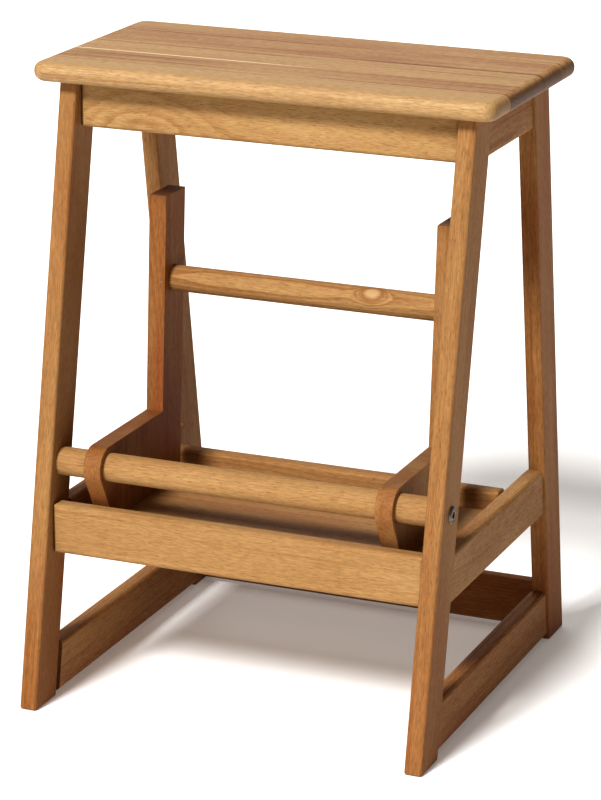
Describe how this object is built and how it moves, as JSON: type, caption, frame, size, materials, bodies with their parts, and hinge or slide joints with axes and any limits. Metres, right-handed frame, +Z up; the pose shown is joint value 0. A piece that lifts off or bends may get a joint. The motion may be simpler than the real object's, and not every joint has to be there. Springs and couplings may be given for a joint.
{
  "type": "step ladder",
  "caption": "Wooden step stool on splayed legs, with a lower step that swings out to the floor in front on a dowel pivot.",
  "frame": {"origin": "on the floor, midway between the feet, under the middle of the seat", "axes": "+X to the right when facing the front, +Y to the back, +Z up; the step is stowed"},
  "size_m": [0.464, 0.428, 0.62],
  "materials": {
    "seat_wood": "oiled, satin",
    "leg_wood": "oiled, satin",
    "apron_wood": "oiled, satin",
    "rail_wood": "oiled, satin",
    "bracket_wood": "oiled, satin",
    "tread_wood": "oiled, satin",
    "dowel_wood": "oiled, satin",
    "pin_wood": "plain",
    "bolt_steel": "zinc plated, satin",
    "brad_steel": "bright",
    "insert_brass": "satin"
  },
  "bodies": {
    "frame": {"seat_stave_1": "seat_wood", "seat_stave_2": "seat_wood", "seat_stave_3": "seat_wood", "seat_stave_4": "seat_wood", "seat_stave_5": "seat_wood", "leg_front_left": "leg_wood", "leg_front_right": "leg_wood", "leg_rear_left": "leg_wood", "leg_rear_right": "leg_wood", "apron_front": "apron_wood", "apron_rear": "apron_wood", "apron_left": "apron_wood", "apron_right": "apron_wood", "rail_front": "rail_wood", "rail_cross": "rail_wood", "rail_left": "rail_wood", "rail_right": "rail_wood", "stretcher_left": "rail_wood", "stretcher_right": "rail_wood", "stretcher_rear": "rail_wood", "pins_cross": "pin_wood", "pins_side": "pin_wood", "pins_seat": "pin_wood", "pivot_dowel": "dowel_wood", "pivot_bolts": "bolt_steel", "pivot_inserts": "insert_brass"},
    "step": {"bracket_left": "bracket_wood", "bracket_right": "bracket_wood", "tread_board_1": "tread_wood", "tread_board_2": "tread_wood", "tread_board_3": "tread_wood", "handle_dowel": "dowel_wood", "handle_brads": "brad_steel", "pins_tread": "pin_wood"}
  },
  "joints": [
    {"name": "step_swing", "type": "hinge", "parent": "frame", "child": "step", "pos_m": [0, -0.14788, 0.238], "axis": [1, 0, 0], "range_deg": [0, 180]}
  ]
}
